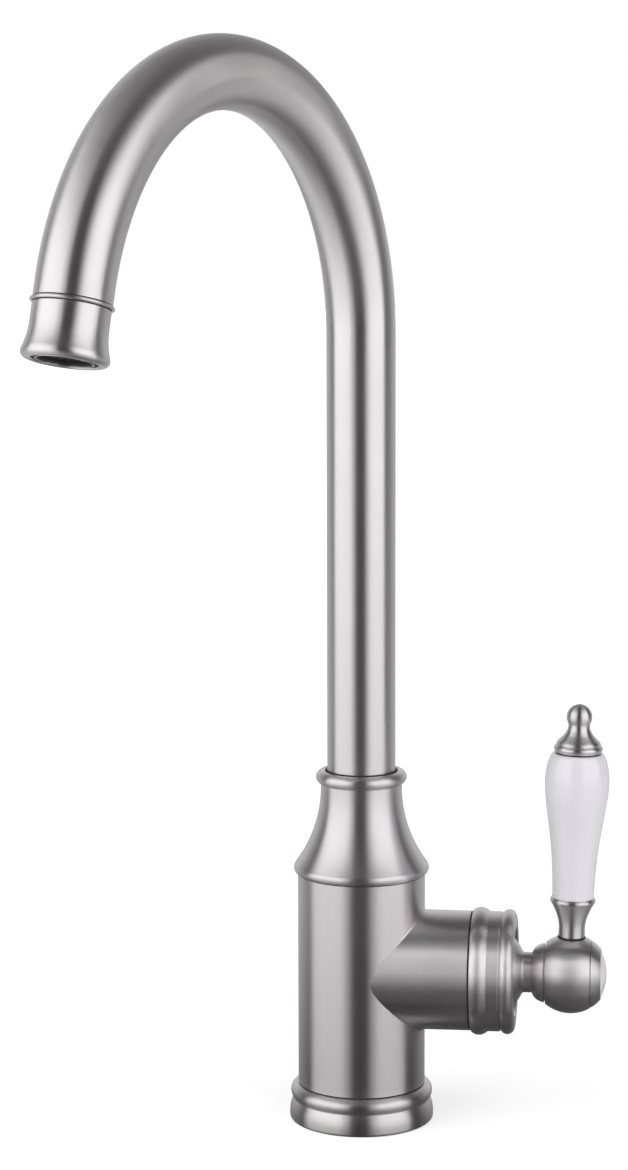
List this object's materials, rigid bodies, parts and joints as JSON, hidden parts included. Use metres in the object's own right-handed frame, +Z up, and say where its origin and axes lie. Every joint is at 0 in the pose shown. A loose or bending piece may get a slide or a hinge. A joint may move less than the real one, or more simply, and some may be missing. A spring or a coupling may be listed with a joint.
{
  "type": "kitchen mixer tap",
  "caption": "Kitchen mixer tap with a tall swivel gooseneck spout, a turned upright body and a side lever with a porcelain grip that sets flow and temperature.",
  "frame": {"origin": "centre of the face that stands on the deck, on the axis of the upright body", "axes": "+Z up along the body and the spout's swivel axis; +X out along the branch that holds the cartridge and the lever; the deck's front is -Y"},
  "size_m": [0.1769, 0.2099, 0.3938],
  "materials": {
    "satin_nickel": "brushed satin nickel plate",
    "plated_shell": "smooth plate",
    "brass": "machined, unplated",
    "glazed_porcelain": "gloss glaze",
    "ground_alumina": "ground and lapped",
    "black_rubber": "moulded matte",
    "white_plastic": "moulded satin",
    "grey_plastic": "moulded satin",
    "stainless_steel": "machined"
  },
  "bodies": {
    "tap": {"tap_body": "satin_nickel", "base_ring": "satin_nickel", "base_seal": "black_rubber", "shoulder_collar": "satin_nickel", "cartridge_base": "white_plastic", "cartridge_seals": "black_rubber", "cartridge_housing": "white_plastic", "fixed_disc": "ground_alumina", "cartridge_nut": "brass", "cover_ring": "satin_nickel"},
    "spout": {"spout_tube": "satin_nickel", "spout_bush": "brass", "spout_o_rings": "black_rubber", "spout_snap_ring": "stainless_steel", "spout_slip_ring": "white_plastic", "outlet_cup": "satin_nickel", "aerator_housing": "plated_shell", "aerator_insert": "grey_plastic", "aerator_screen": "stainless_steel", "aerator_washer": "black_rubber"},
    "rotor": {"cartridge_rotor": "grey_plastic", "stem_pin": "stainless_steel"},
    "ceramic_slide": {"moving_disc": "ground_alumina", "disc_carrier": "grey_plastic"},
    "lever": {"cartridge_stem": "brass", "lever_hub": "satin_nickel", "hub_grub_screw": "stainless_steel", "hub_end_ring": "satin_nickel", "index_button": "glazed_porcelain", "lever_ferrule": "satin_nickel", "grip_washers": "black_rubber", "porcelain_grip": "glazed_porcelain", "tie_rod": "stainless_steel", "finial": "satin_nickel"}
  },
  "joints": [
    {"name": "spout_swivel", "type": "hinge", "parent": "tap", "child": "spout", "pos_m": [0, 0, 0.1], "axis": [0, 0, 1], "continuous": true},
    {"name": "temperature_turn", "type": "hinge", "parent": "tap", "child": "rotor", "pos_m": [0.0428, 0, 0.0568], "axis": [1, 0, 0], "range_deg": [-45, 45]},
    {"name": "flow_tilt", "type": "hinge", "parent": "rotor", "child": "lever", "pos_m": [0.0428, 0, 0.0568], "axis": [0, 1, 0], "range_deg": [0, 20]},
    {"name": "disc_slide", "type": "slide", "parent": "rotor", "child": "ceramic_slide", "axis": [0, 0, 1], "range_m": [0, 0.00412]}
  ],
  "couplings": [
    {"joint": "disc_slide", "follows": "flow_tilt", "m_per_rad": 0.01177}
  ]
}
